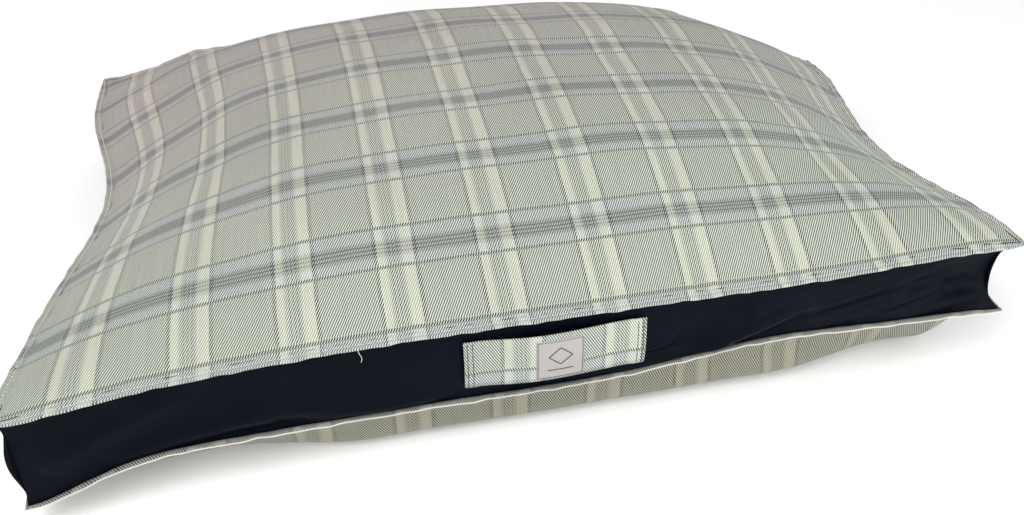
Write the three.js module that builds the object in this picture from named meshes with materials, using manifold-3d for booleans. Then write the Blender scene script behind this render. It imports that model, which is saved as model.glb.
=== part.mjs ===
// Boxed pet cushion: a zip-off cover of woven plaid cloth with a nylon wall, a carry handle on the
// front wall, and an inner case of fibre filling. Millimetres, +Z up, front wall towards -Y.
// The origin is on the floor, under the middle of the cushion.
import * as THREE from "three";
import { mergeVertices } from "three/addons/utils/BufferGeometryUtils.js";
import Module from "manifold-3d";

const wasm = await Module();
wasm.setup();

// ---- driving dimensions -------------------------------------------------------------------------
const cushionWidth = 1000; // corner to corner along X
const cushionDepth = 700; // corner to corner along Y
const bottomSeamHeight = 52; // bottom seam above the floor, along the middle of each wall
const wallHeight = 96; // bottom seam to top seam
const cornerDroop = 10; // how far both seams drop towards the corners
const crownHeight = 90; // top panel above its seam
const bellyReach = 125; // how far in from the bottom seam the bottom panel meets the floor
const frontPullIn = 16; // how far the front and rear seams draw in between the corners
const sidePullIn = 12; // the same for the left and right seams
const cornerPinch = 20; // how far each wall corner draws in halfway between the seams
const wallBulge = 3; // how far each wall swells halfway up, away from the corners

const panelThickness = 2; // plaid cloth with its backing, measured along Z
const wallThickness = 1.2; // coated nylon
const flangeWidth = 9; // stitched edge that stands out past the top seam
const flangeThickness = 3;
const flangeDrop = 2;
const lowerFlangeWidth = 7; // turned-out edge of the bottom seam
const lowerFlangeThickness = 2.4;

const linerThickness = 0.8;
const linerEase = 3.8; // room between the cover and the inner case
const linerDepthEase = 4; // the same, under the top panel and over the bottom panel
const fillEase = 1.8; // room between the inner case and its filling
const touch = 0.3; // gap that keeps pieces that touch apart
const seamGap = 0.5; // the same between a wall and the panels that it is sewn to
const slack = 0.4; // running clearance around the zip slider

const handleLength = 184;
const handleWidth = 57;
const handleThickness = 2.6; // two turned plies
const handleBow = 12; // how far the strap stands off the wall in the middle
const handleSewn = 13; // length of each end that is sewn flat to the wall
const handleBelowSeam = 14; // top edge of the strap below the top seam
const stitchInset = 4; // from the strap's end to its stitching
const stitchBand = 6; // two rows of stitches side by side
const stitchHeight = 0.6;
const labelSize = 45;
const labelThickness = 0.8;

const zipLength = 700;
const zipWindow = 10; // gap between the two rear strips
const tapeWidth = 13;
const tapeThickness = 0.8;
const coilWidth = 2.2;
const coilThickness = 1.8;
const sliderWeb = 1; // thickness of the neck between the slider's two plates
const sliderLength = 10;
const sliderPlate = 1.2;
const neckLength = 3;
const rimWidth = 1.1;
const stopLength = 3;
const tabLength = 28;
const tabWidth = 6.4;
const tabThickness = 1.3;
const tabBar = 1.3; // thickness of the tab's cross bar inside the crown
const crownSpan = 7; // length of the slider's crown along the zip
const crownRise = 3.6;
const crownBar = 1.1;
const crownWidth = 2;

const careLabelWidth = 30;
const careLabelLength = 42;
const careLabelThickness = 0.6;
const careLabelOff = 1.4; // it hangs this far off the curved wall
const careLabelFromCorner = 62;

// ---- what follows from them ---------------------------------------------------------------------
const halfWidth = cushionWidth / 2;
const halfDepth = cushionDepth / 2;
const topSeamHeight = bottomSeamHeight + wallHeight;
const rowGap = sliderWeb / 2 + slack; // half the gap between the two rows of the zip
const seatMargin = 12; // straight wall past each end of the handle and the zip
const linerFace = -(wallThickness + linerEase); // outer face of the inner case, measured from the wall
const fillFace = linerFace - linerThickness - fillEase;

const straightShare = {
  front: (handleLength / 2 + seatMargin) / halfWidth,
  rear: (zipLength / 2 + seatMargin) / halfWidth,
  left: 0,
  right: 0,
};

// Each wall: which way is out, how long it is, and how far away.
const walls = {
  front: { half: halfWidth, away: halfDepth, pullIn: frontPullIn, place: (a, o) => [a, -o] },
  rear: { half: halfWidth, away: halfDepth, pullIn: frontPullIn, place: (a, o) => [-a, o] },
  left: { half: halfDepth, away: halfWidth, pullIn: sidePullIn, place: (a, o) => [-o, -a] },
  right: { half: halfDepth, away: halfWidth, pullIn: sidePullIn, place: (a, o) => [o, a] },
};

// 0 along the straight middle of a wall, rising to 1 at its corners.
function cornerShare(s, straight) {
  const past = Math.max(0, Math.abs(s) - straight) / (1 - straight);
  return past * past;
}

const seamZ = (level, share) => level - cornerDroop * share;

// A point of a wall. s runs from -1 to 1 along it, h from 0 to 1 up it, r is outwards from its face.
function wallPoint(side, s, h, r) {
  const wall = walls[side];
  const share = cornerShare(s, straightShare[side]);
  const swell = 1 - (2 * h - 1) ** 2;
  const pinch = cornerPinch * swell * share ** 2;
  const along = s * (wall.half + r) - Math.sign(s) * pinch;
  const out = wall.away + r - wall.pullIn * (1 - share) + wallBulge * swell * (1 - share) - pinch;
  const low = seamZ(bottomSeamHeight, share) + panelThickness + seamGap;
  const high = seamZ(topSeamHeight, share) - panelThickness - seamGap;
  const [x, y] = wall.place(along, out);
  return new THREE.Vector3(x, y, low + (high - low) * h);
}

const wallFoot = bottomSeamHeight + panelThickness + seamGap;
const wallHead = topSeamHeight - panelThickness - seamGap;
const heightShare = (z) => (z - wallFoot) / (wallHead - wallFoot);

// A point of the cushion's plan. u and v run from -1 to 1; past 1 they cross the stitched edge.
function planPoint(u, v, edge) {
  const cu = THREE.MathUtils.clamp(u, -1, 1);
  const cv = THREE.MathUtils.clamp(v, -1, 1);
  const along = cornerShare(cu, v < 0 ? straightShare.front : straightShare.rear);
  const across = cornerShare(cv, 0);
  const x = cu * (halfWidth - sidePullIn * (1 - across)) + (u - cu) * edge;
  const y = cv * (halfDepth - frontPullIn * (1 - along)) + (v - cv) * edge;
  return { x, y, cu, cv, droop: along * across };
}

// Heights of the cushion's upper and lower surfaces over a plan point.
function upperZ(u, v, droop) {
  const crown = (1 - Math.abs(u) ** 3.1) * (1 - Math.abs(v) ** 2.6);
  return seamZ(topSeamHeight, droop) + crownHeight * crown;
}

function lowerZ(u, v, droop) {
  const rise = (share, half) => Math.max(0, 1 - ((1 - Math.abs(share)) * half) / bellyReach) ** 2;
  const down = (1 - rise(u, halfWidth)) * (1 - rise(v, halfDepth));
  return seamZ(bottomSeamHeight, droop) * (1 - down);
}

// ---- solids -------------------------------------------------------------------------------------
const evenly = (from, to, steps) =>
  Array.from({ length: steps + 1 }, (_, i) => from + ((to - from) * i) / steps);

// Where the columns and rows of everything that meets at the seams lie: closer together where the
// walls bend, and the same for the panels, the walls and the inner case.
function widthStations() {
  const { front, rear } = straightShare;
  const [inner, outer] = [Math.min(front, rear), Math.max(front, rear)];
  const right = [...evenly(inner, outer, 6).slice(1), ...evenly(outer, 1, 5).slice(1)];
  return [...right.map((s) => -s).reverse(), ...evenly(-inner, inner, 4), ...right];
}
const columns = widthStations();
const rows = evenly(-1, 1, 18);
const alongWall = { front: columns, rear: columns, left: rows, right: rows };

// One closed solid between two grids of points, a face grid and a back grid, joined round the rim.
// Seen from outside the face, columns run to the right and rows run up.
function sheetSolid(across, up, facePoint, backPoint) {
  const points = [];
  const triangles = [];
  const wide = across.length;
  const tall = up.length;
  for (const make of [facePoint, backPoint]) {
    for (const row of up) {
      for (const column of across) points.push(...make(column, row).toArray());
    }
  }
  const at = (layer, i, j) => layer * wide * tall + j * wide + i;
  const quad = (a, b, c, d) => triangles.push(a, b, c, a, c, d);
  for (let j = 0; j < tall - 1; j++) {
    for (let i = 0; i < wide - 1; i++) {
      quad(at(0, i, j), at(0, i + 1, j), at(0, i + 1, j + 1), at(0, i, j + 1));
      quad(at(1, i, j), at(1, i, j + 1), at(1, i + 1, j + 1), at(1, i + 1, j));
    }
  }
  for (let i = 0; i < wide - 1; i++) {
    quad(at(1, i, 0), at(1, i + 1, 0), at(0, i + 1, 0), at(0, i, 0));
    quad(at(0, i, tall - 1), at(0, i + 1, tall - 1), at(1, i + 1, tall - 1), at(1, i, tall - 1));
  }
  for (let j = 0; j < tall - 1; j++) {
    quad(at(0, 0, j), at(0, 0, j + 1), at(1, 0, j + 1), at(1, 0, j));
    quad(at(1, wide - 1, j), at(1, wide - 1, j + 1), at(0, wide - 1, j + 1), at(0, wide - 1, j));
  }
  return indexed(points, triangles);
}

function indexed(points, triangles) {
  const geometry = new THREE.BufferGeometry();
  geometry.setAttribute("position", new THREE.Float32BufferAttribute(points, 3));
  geometry.setIndex(triangles);
  geometry.computeVertexNormals();
  return geometry;
}

const depthAt = (depth, s, h) => (typeof depth === "function" ? depth(s, h) : depth);

// A piece that follows a wall: at gives its places along it, low and high up it, face and back outwards.
function wallSolid({ side, at, low, high, face, back, levels }) {
  return sheetSolid(
    at,
    evenly(low, high, levels),
    (s, h) => wallPoint(side, s, h, depthAt(face, s, h)),
    (s, h) => wallPoint(side, s, h, depthAt(back, s, h)),
  );
}

const mm = (length, half) => length / half; // a length along a wall as a share of its half length

// A wall, or a strip of one, from corner to corner.
function wallStrip(side, low, high, levels) {
  const end = 1 - mm(touch, walls[side].half);
  const at = alongWall[side].map((s) => THREE.MathUtils.clamp(s, -end, end));
  return wallSolid({ side, at, low, high, face: 0, back: -wallThickness, levels });
}

// The panels' columns and rows have one more step at each end, across the stitched edge.
const withEdge = (stations) => [-2, ...stations, 2];

function topPanel() {
  const surface = (thickness, edgeThickness) => (u, v) => {
    const p = planPoint(u, v, flangeWidth);
    const onEdge = Math.max(Math.abs(u), Math.abs(v)) > 1;
    const z = upperZ(p.cu, p.cv, p.droop) - (onEdge ? flangeDrop + edgeThickness : thickness);
    return new THREE.Vector3(p.x, p.y, z);
  };
  const back = surface(panelThickness, flangeThickness);
  return sheetSolid(withEdge(columns), withEdge(rows), surface(0, 0), back);
}

function bottomPanel() {
  const surface = (thickness, edgeThickness) => (u, v) => {
    const p = planPoint(u, v, lowerFlangeWidth);
    const onEdge = Math.max(Math.abs(u), Math.abs(v)) > 1;
    const z = lowerZ(p.cu, p.cv, p.droop) + (onEdge ? edgeThickness : thickness);
    return new THREE.Vector3(p.x, p.y, z);
  };
  const top = surface(panelThickness, lowerFlangeThickness);
  return sheetSolid(withEdge(columns), withEdge(rows), top, surface(0, 0));
}

// A plan point of something inside the cover, set in from the wall's face by inset, and by cornerIn
// more at the corners, to stay clear of the pinched walls.
function insidePoint(u, v, inset, cornerIn, height) {
  const iu = u * (1 + inset / halfWidth);
  const iv = v * (1 + inset / halfDepth);
  const p = planPoint(iu, iv, 0);
  const along = cornerShare(u, v < 0 ? straightShare.front : straightShare.rear) ** 2;
  const across = cornerShare(v, 0) ** 2;
  const x = p.x - Math.sign(u) * cornerIn * across * u ** 4;
  const y = p.y - Math.sign(v) * cornerIn * along * v ** 4;
  return new THREE.Vector3(x, y, height(iu, iv, p.droop));
}

// Depth below the outside of the panels: the inner case lies against the cover, the filling in it.
const caseDepth = panelThickness + linerDepthEase;
const fillDepth = caseDepth + linerThickness + fillEase;
const caseCornerIn = cornerPinch / 2;
const fillCornerIn = cornerPinch + fillEase;

function linerTop() {
  const layer = (depth) => (u, v) => insidePoint(u, v, linerFace, caseCornerIn, (a, b, d) => upperZ(a, b, d) - depth);
  return sheetSolid(columns, rows, layer(caseDepth), layer(caseDepth + linerThickness));
}

function linerBase() {
  const layer = (depth) => (u, v) => insidePoint(u, v, linerFace, caseCornerIn, (a, b, d) => lowerZ(a, b, d) + depth);
  return sheetSolid(columns, rows, layer(caseDepth + linerThickness), layer(caseDepth));
}

function fibreFill() {
  const upper = (u, v) => insidePoint(u, v, fillFace, fillCornerIn, (a, b, d) => upperZ(a, b, d) - fillDepth);
  const lower = (u, v) => insidePoint(u, v, fillFace, fillCornerIn, (a, b, d) => lowerZ(a, b, d) + fillDepth);
  return sheetSolid(columns, rows, upper, lower);
}

const bandMargin = 0.08; // the inner case's wall stops short of its top and base by this share

// The inner case's wall: one ring round all four sides, open at the top and the bottom.
function linerBand() {
  const stations = [];
  for (const side of ["front", "right", "rear", "left"]) {
    for (const s of alongWall[side].slice(0, -1)) stations.push([side, s]);
  }
  const rowShares = evenly(bandMargin, 1 - bandMargin, 4);
  const points = [];
  const triangles = [];
  for (const r of [linerFace, linerFace - linerThickness]) {
    for (const h of rowShares) {
      for (const [side, s] of stations) points.push(...wallPoint(side, s, h, r).toArray());
    }
  }
  const round = stations.length;
  const tall = rowShares.length;
  const at = (layer, i, j) => layer * round * tall + j * round + (i % round);
  const quad = (a, b, c, d) => triangles.push(a, b, c, a, c, d);
  for (let i = 0; i < round; i++) {
    for (let j = 0; j < tall - 1; j++) {
      quad(at(0, i, j), at(0, i + 1, j), at(0, i + 1, j + 1), at(0, i, j + 1));
      quad(at(1, i, j), at(1, i, j + 1), at(1, i + 1, j + 1), at(1, i + 1, j));
    }
    quad(at(1, i, 0), at(1, i + 1, 0), at(0, i + 1, 0), at(0, i, 0));
    quad(at(0, i, tall - 1), at(0, i + 1, tall - 1), at(1, i + 1, tall - 1), at(1, i, tall - 1));
  }
  return indexed(points, triangles);
}

// ---- carry handle -------------------------------------------------------------------------------
const handleTop = topSeamHeight - handleBelowSeam;
const handleMiddle = handleTop - handleWidth / 2;
const freeHalf = handleLength / 2 - handleSewn;

// How far the strap's back stands off the wall.
function handleOff(s) {
  const x = Math.abs(s * halfWidth);
  if (x >= freeHalf) return touch;
  return touch + (handleBow * (1 + Math.cos((Math.PI * x) / freeHalf))) / 2;
}

function onHandle(from, to, low, high, base, thickness, steps) {
  return wallSolid({
    side: "front",
    at: evenly(mm(from, halfWidth), mm(to, halfWidth), steps),
    low: heightShare(low),
    high: heightShare(high),
    face: (s) => handleOff(s) + base + thickness,
    back: (s) => handleOff(s) + base,
    levels: 4,
  });
}

const carryHandle = () =>
  onHandle(-handleLength / 2, handleLength / 2, handleTop - handleWidth, handleTop, 0, handleThickness, 28);

function handleStitching(end) {
  const near = end * (handleLength / 2 - stitchInset);
  const far = near - end * stitchBand;
  const [from, to] = [Math.min(near, far), Math.max(near, far)];
  const margin = stitchInset;
  const base = handleThickness + touch;
  return onHandle(from, to, handleTop - handleWidth + margin, handleTop - margin, base, stitchHeight, 2);
}

function wovenLabel() {
  const [low, high] = [handleMiddle - labelSize / 2, handleMiddle + labelSize / 2];
  return onHandle(-labelSize / 2, labelSize / 2, low, high, handleThickness + touch, labelThickness, 8);
}

function careLabel() {
  const from = mm(halfWidth - careLabelFromCorner - careLabelWidth, halfWidth);
  const to = mm(halfWidth - careLabelFromCorner, halfWidth);
  const high = heightShare(wallHead - 2);
  const low = heightShare(wallHead - 2 - careLabelLength);
  const [face, back] = [careLabelOff + careLabelThickness, careLabelOff];
  return wallSolid({ side: "rear", at: evenly(from, to, 4), low, high, face, back, levels: 4 });
}

// ---- zip ----------------------------------------------------------------------------------------
const zipZ = (wallFoot + wallHead) / 2;
const zipFace = halfDepth - frontPullIn + wallBulge; // Y of the rear wall's face at the zip
const tapeFace = -(wallThickness + touch);
const tapeBack = tapeFace - tapeThickness;
const coilBack = tapeFace + touch;
const coilFace = coilBack + coilThickness;
const zipEnd = zipLength / 2;
const stopOuter = zipEnd - 4;
const coilEnd = stopOuter - stopLength - touch;

// A straight piece of the zip; up is 1 above the zip's centre line and -1 below it.
function zipRun(fromX, toX, near, far, face, back, up, steps) {
  const heights = [zipZ + up * near, zipZ + up * far].sort((a, b) => a - b);
  return wallSolid({
    side: "rear",
    at: evenly(mm(-toX, halfWidth), mm(-fromX, halfWidth), steps),
    low: heightShare(heights[0]),
    high: heightShare(heights[1]),
    face,
    back,
    levels: 1,
  });
}

const zipTape = (up) => zipRun(-zipEnd, zipEnd, rowGap, rowGap + tapeWidth, tapeFace, tapeBack, up, 8);
const zipCoil = (up) => zipRun(-coilEnd, coilEnd, rowGap, rowGap + coilWidth, coilFace, coilBack, up, 8);

// One stop joins both rows where the zip starts, and each row has its own where it closes.
const startStop = () =>
  zipRun(-stopOuter, -stopOuter + stopLength, -rowGap - coilWidth, rowGap + coilWidth, coilFace, coilBack, 1, 1);
const closingStop = (up) =>
  zipRun(stopOuter - stopLength, stopOuter, rowGap, rowGap + coilWidth, coilFace, coilBack, up, 1);

function toSolid(geometry) {
  const bare = geometry.index ? geometry.clone() : geometry;
  bare.deleteAttribute("normal");
  bare.deleteAttribute("uv");
  const merged = mergeVertices(bare, 1e-4);
  const mesh = new wasm.Mesh({
    numProp: 3,
    vertProperties: new Float32Array(merged.attributes.position.array),
    triVerts: new Uint32Array(merged.index.array),
  });
  return new wasm.Manifold(mesh);
}

function toGeometry(solid) {
  const mesh = solid.getMesh();
  return indexed(Array.from(mesh.vertProperties), Array.from(mesh.triVerts));
}

function block(x0, x1, y0, y1, z0, z1) {
  const box = new THREE.BoxGeometry(x1 - x0, y1 - y0, z1 - z0);
  box.translate((x0 + x1) / 2, (y0 + y1) / 2, (z0 + z1) / 2);
  return toSolid(box);
}

// A plate with round ends, cut from a shape in XZ and as thick as y0 to y1.
function roundedPlate(x0, x1, y0, y1, halfHigh, radius) {
  const shape = new THREE.Shape();
  shape.moveTo(x0 + radius, -halfHigh);
  shape.lineTo(x1 - radius, -halfHigh);
  shape.absarc(x1 - radius, -halfHigh + radius, radius, -Math.PI / 2, 0);
  shape.lineTo(x1, halfHigh - radius);
  shape.absarc(x1 - radius, halfHigh - radius, radius, 0, Math.PI / 2);
  shape.lineTo(x0 + radius, halfHigh);
  shape.absarc(x0 + radius, halfHigh - radius, radius, Math.PI / 2, Math.PI);
  shape.lineTo(x0, -halfHigh + radius);
  shape.absarc(x0 + radius, -halfHigh + radius, radius, Math.PI, 1.5 * Math.PI);
  const plate = new THREE.ExtrudeGeometry(shape, { depth: y1 - y0, bevelEnabled: false, curveSegments: 6 });
  plate.rotateX(Math.PI / 2);
  plate.translate(0, y1, 0);
  return toSolid(plate);
}

// The slider is drawn about its own origin: X along the zip, +Y out of the wall, Z across the rows.
const sliderHalfHigh = rowGap + coilWidth + slack + rimWidth;
const frontPlateBack = coilFace + slack;
const frontPlateFace = frontPlateBack + sliderPlate;
const rearPlateFace = tapeBack - slack;
const sliderHome = coilEnd - sliderLength / 2; // X of the slider with the zip closed
const hingeOut = frontPlateFace + tabBar / 2 + slack; // Y of the tab's hinge line

function zipSlider() {
  const half = sliderLength / 2;
  let body = roundedPlate(-half, half, frontPlateBack, frontPlateFace, sliderHalfHigh, 1.6);
  const rimDepth = tapeFace + slack;
  for (const side of [-1, 1]) {
    const rims = [side * (sliderHalfHigh - rimWidth), side * sliderHalfHigh].sort((a, b) => a - b);
    body = body.add(block(-half + 1.6, half - 1.6, rimDepth, frontPlateBack + 0.2, rims[0], rims[1]));
  }
  body = body.add(roundedPlate(-half, half, rearPlateFace - sliderPlate, rearPlateFace, sliderHalfHigh, 1.6));
  const neck = [rearPlateFace - 0.2, frontPlateBack + 0.2];
  body = body.add(block(half - neckLength, half, neck[0], neck[1], -sliderWeb / 2, sliderWeb / 2));
  const crownHalf = crownSpan / 2;
  const base = frontPlateFace - 0.2;
  const peak = frontPlateFace + crownRise;
  const arch = block(-crownHalf, crownHalf, base, peak, -crownWidth / 2, crownWidth / 2);
  const eye = block(
    -crownHalf + crownBar, crownHalf - crownBar, frontPlateFace, peak - crownBar, -crownWidth, crownWidth,
  );
  return toGeometry(body.add(arch.subtract(eye)));
}

// The pull tab hangs its cross bar in the crown and lies along the closed zip.
function zipPullTab() {
  const eyeHalfHigh = crownWidth / 2 + slack;
  const bar = tabBar / 2;
  const eyeEnd = -(crownSpan / 2 + slack) - bar;
  let plate = roundedPlate(-tabLength, bar, -tabThickness / 2, tabThickness / 2, tabWidth / 2, bar);
  plate = plate.subtract(block(eyeEnd, -bar, -tabThickness, tabThickness, -eyeHalfHigh, eyeHalfHigh));
  const grip = [-tabLength + 3, -tabLength + 11];
  return toGeometry(plate.subtract(roundedPlate(grip[0], grip[1], -tabThickness, tabThickness, 1.7, 1.6)));
}

// ---- finishes and the object --------------------------------------------------------------------
const finish = (color, roughness, metalness = 0) => new THREE.MeshStandardMaterial({ color, roughness, metalness });
const plaid = finish(0x9d9a8c, 0.95);
const nylon = finish(0x14161d, 0.55);
const calico = finish(0xe9e6dc, 0.9);
const fibre = finish(0xf4f4f2, 1);
const tapeCloth = finish(0x121317, 0.8);
const coilPlastic = finish(0x17181c, 0.45);
const gunmetal = finish(0x3b3d42, 0.35, 1);
const labelCloth = finish(0xe6e3d8, 0.85);
const thread = finish(0x2c2d2c, 0.8);

const cushion = new THREE.Group();

function add(name, geometry, material, parent = cushion) {
  const mesh = new THREE.Mesh(geometry, material);
  mesh.name = name;
  parent.add(mesh);
  return mesh;
}

add("top_panel", topPanel(), plaid);
add("bottom_panel", bottomPanel(), plaid);
for (const side of ["front", "left", "right"]) add(`${side}_gusset`, wallStrip(side, 0, 1, 5), nylon);
add("rear_gusset_lower", wallStrip("rear", 0, heightShare(zipZ - zipWindow / 2), 3), nylon);
add("rear_gusset_upper", wallStrip("rear", heightShare(zipZ + zipWindow / 2), 1, 3), nylon);

add("carry_handle", carryHandle(), plaid);
add("handle_stitching_left", handleStitching(-1), thread);
add("handle_stitching_right", handleStitching(1), thread);
add("woven_label", wovenLabel(), labelCloth);
add("care_label", careLabel(), labelCloth);

for (const [row, up] of [["lower", -1], ["upper", 1]]) {
  add(`zip_tape_${row}`, zipTape(up), tapeCloth);
  add(`zip_coil_${row}`, zipCoil(up), coilPlastic);
  add(`zip_closing_stop_${row}`, closingStop(up), gunmetal);
}
add("zip_start_stop", startStop(), gunmetal);

const slider = new THREE.Group();
slider.position.set(sliderHome, zipFace, zipZ);
cushion.add(slider);
add("zip_slider", zipSlider(), gunmetal, slider);
const tab = add("zip_pull_tab", zipPullTab(), gunmetal, slider);
tab.position.y = hingeOut;

add("liner_top", linerTop(), calico);
add("liner_base", linerBase(), calico);
add("liner_band", linerBand(), calico);
add("fibre_fill", fibreFill(), fibre);

export default cushion;
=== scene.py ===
import bpy
import math
import numpy as np
from mathutils import Matrix, Vector
from mathutils.bvhtree import BVHTree


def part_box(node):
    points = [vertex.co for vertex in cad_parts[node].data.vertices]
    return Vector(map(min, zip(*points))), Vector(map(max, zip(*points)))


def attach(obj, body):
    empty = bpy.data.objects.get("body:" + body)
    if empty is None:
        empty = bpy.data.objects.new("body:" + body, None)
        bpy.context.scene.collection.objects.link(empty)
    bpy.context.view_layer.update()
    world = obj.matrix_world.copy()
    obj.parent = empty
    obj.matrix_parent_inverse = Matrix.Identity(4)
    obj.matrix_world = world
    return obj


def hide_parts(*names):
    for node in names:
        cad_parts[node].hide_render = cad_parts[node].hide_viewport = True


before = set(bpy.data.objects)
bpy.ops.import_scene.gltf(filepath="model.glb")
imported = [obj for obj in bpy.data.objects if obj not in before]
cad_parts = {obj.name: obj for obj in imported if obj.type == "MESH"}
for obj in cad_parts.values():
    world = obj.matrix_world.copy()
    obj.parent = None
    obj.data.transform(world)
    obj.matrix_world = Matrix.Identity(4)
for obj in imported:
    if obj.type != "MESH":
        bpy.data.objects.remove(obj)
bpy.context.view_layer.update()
rng = np.random.default_rng(7)

view = dict(turn=-12.1, rise=36.8, roll=-0.4, place=(-0.208, -1.119, 0.826), lens=38.5)


def aimCamera():
    turn = math.radians(view["turn"])
    rise = math.radians(view["rise"])
    back = Vector((math.sin(turn) * math.cos(rise), -math.cos(turn) * math.cos(rise), math.sin(rise)))
    right = (-back).cross(Vector((0, 0, 1))).normalized()
    up = right.cross(-back)
    level = Matrix((right, up, back)).transposed().to_4x4()
    data = bpy.data.cameras.new("camera")
    data.lens = view["lens"]
    camera = bpy.data.objects.new("camera", data)
    bpy.context.scene.collection.objects.link(camera)
    roll = Matrix.Rotation(math.radians(view["roll"]), 4, "Z")
    camera.matrix_world = Matrix.Translation(view["place"]) @ level @ roll
    bpy.context.scene.camera = camera


aimCamera()
print("camera set")

# The whole cover is one closed bag while it is filled: top, bottom and four walls share their seam points.
bag = dict(cutWidth=1.02, cutDepth=0.725, wallHeight=0.096, cell=0.0125, seamLift=0.052, crown=0.09,
           bellyReach=0.066, sidePull=0.012, endPull=0.016, cornerPinch=0.02, cornerDroop=0.01,
           volume=0.128, push=60.0, frames=40)
zipRun = dict(half=0.362, face=0.337, middle=0.1, held=0.0155, band=0.013, window=0.0052, shut=0.0003,
              windowHalf=0.356)
cells = tuple(round(bag[size] / bag["cell"]) for size in ("cutWidth", "cutDepth", "wallHeight"))


def nearCorner(s, straight):
    return (max(0.0, abs(s) - straight) / (1 - straight)) ** 2


def bellyRise(s, half):
    return max(0.0, 1 - (1 - abs(s)) * half / bag["bellyReach"]) ** 2


# where a point of the bag starts, before the filling goes in
def startPlace(i, j, k):
    u = 2 * i / cells[0] - 1
    v = 2 * j / cells[1] - 1
    h = k / cells[2]
    along = nearCorner(u, 0.2 if v < 0 else 0.72)
    across = nearCorner(v, 0)
    pinch = bag["cornerPinch"] * (1 - (2 * h - 1) ** 2)
    x = u * (0.5 - bag["sidePull"] * (1 - across))
    y = v * (0.35 - bag["endPull"] * (1 - along))
    if abs(u) == 1:
        x -= u * pinch * across ** 2
    if abs(v) == 1:
        y -= v * pinch * along ** 2
    droop = bag["cornerDroop"] * along * across
    roof = bag["seamLift"] + bag["wallHeight"] - droop + bag["crown"] * (1 - abs(u) ** 3.1) * (1 - abs(v) ** 2.6)
    lowest = (bag["seamLift"] - droop) * (1 - (1 - bellyRise(u, 0.5)) * (1 - bellyRise(v, 0.35)))
    if j == cells[1] and 0 < h < 1 and abs(x) < zipRun["half"]:
        y = zipRun["face"]
    return x, y, lowest + (roof - lowest) * h


def bagPoints():
    numbers = {}
    cut = []
    start = []
    for i in range(cells[0] + 1):
        for j in range(cells[1] + 1):
            for k in range(cells[2] + 1):
                if i in (0, cells[0]) or j in (0, cells[1]) or k in (0, cells[2]):
                    numbers[i, j, k] = len(cut)
                    x = bag["cutWidth"] * (i / cells[0] - 0.5)
                    y = bag["cutDepth"] * (j / cells[1] - 0.5)
                    cut.append((x, y, bag["seamLift"] + bag["wallHeight"] * k / cells[2]))
                    start.append(startPlace(i, j, k))
    return numbers, np.array(cut), np.array(start)


def bagFaces(numbers):
    nx, ny, nz = cells
    faces = []
    for i in range(nx):
        for j in range(ny):
            for k, order in ((nz, 1), (0, -1)):
                ring = (numbers[i, j, k], numbers[i + 1, j, k], numbers[i + 1, j + 1, k],
                        numbers[i, j + 1, k])
                faces.append(ring[::order])
    for k in range(nz):
        for i in range(nx):
            for j, order in ((0, 1), (ny, -1)):
                ring = (numbers[i, j, k], numbers[i + 1, j, k], numbers[i + 1, j, k + 1],
                        numbers[i, j, k + 1])
                faces.append(ring[::order])
        for j in range(ny):
            for i, order in ((nx, 1), (0, -1)):
                ring = (numbers[i, j, k], numbers[i, j + 1, k], numbers[i, j + 1, k + 1],
                        numbers[i, j, k + 1])
                faces.append(ring[::order])
    return faces


# what the filling can't move: the belly on the floor and the wall where the zip is sewn
def heldPoints(numbers, start):
    held = []
    for (i, j, k), n in numbers.items():
        x, y, z = start[n]
        onFloor = k == 0 and z < 1e-6 and abs(x) < 0.42 and abs(y) < 0.272
        atZip = j == cells[1] and abs(x) < zipRun["half"] and abs(z - zipRun["middle"]) < zipRun["held"]
        if onFloor or atZip:
            held.append(n)
    return held


fabric = dict(vertex_group_mass="held", quality=8, mass=0.3, tension_stiffness=40, compression_stiffness=20,
              shear_stiffness=10, bending_stiffness=0.5, tension_damping=10, compression_damping=10,
              shear_damping=10, bending_damping=1, air_damping=2, use_pressure=True,
              use_pressure_volume=True,
              target_volume=bag["volume"], uniform_pressure_force=0, pressure_factor=bag["push"])


def fillBag(numbers, cut, start):
    mesh = bpy.data.meshes.new("bag")
    mesh.from_pydata(start.tolist(), [], bagFaces(numbers))
    work = bpy.data.objects.new("bag", mesh)
    bpy.context.scene.collection.objects.link(work)
    work.shape_key_add(name="Basis")
    flatKey = work.shape_key_add(name="cut")
    flatKey.value = 0
    flatKey.data.foreach_set("co", cut.astype(np.float32).ravel())
    held = work.vertex_groups.new(name="held")
    held.add(heldPoints(numbers, start), 1.0, "REPLACE")
    cloth = work.modifiers.new("filling", "CLOTH")
    cloth.settings.rest_shape_key = flatKey
    for name, value in fabric.items():
        setattr(cloth.settings, name, value)
    cloth.settings.effector_weights.gravity = 0
    cloth.collision_settings.use_collision = False
    cloth.collision_settings.use_self_collision = False
    cloth.point_cache.frame_start = 1
    cloth.point_cache.frame_end = bag["frames"]
    scene = bpy.context.scene
    scene.frame_end = bag["frames"]
    for step in range(1, bag["frames"] + 1):
        scene.frame_set(step)
    filled = work.evaluated_get(bpy.context.evaluated_depsgraph_get())
    points = np.empty(len(start) * 3)
    filled.data.vertices.foreach_get("co", points)
    bpy.data.objects.remove(work)
    scene.frame_set(1)
    return points.reshape(-1, 3)


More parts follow.
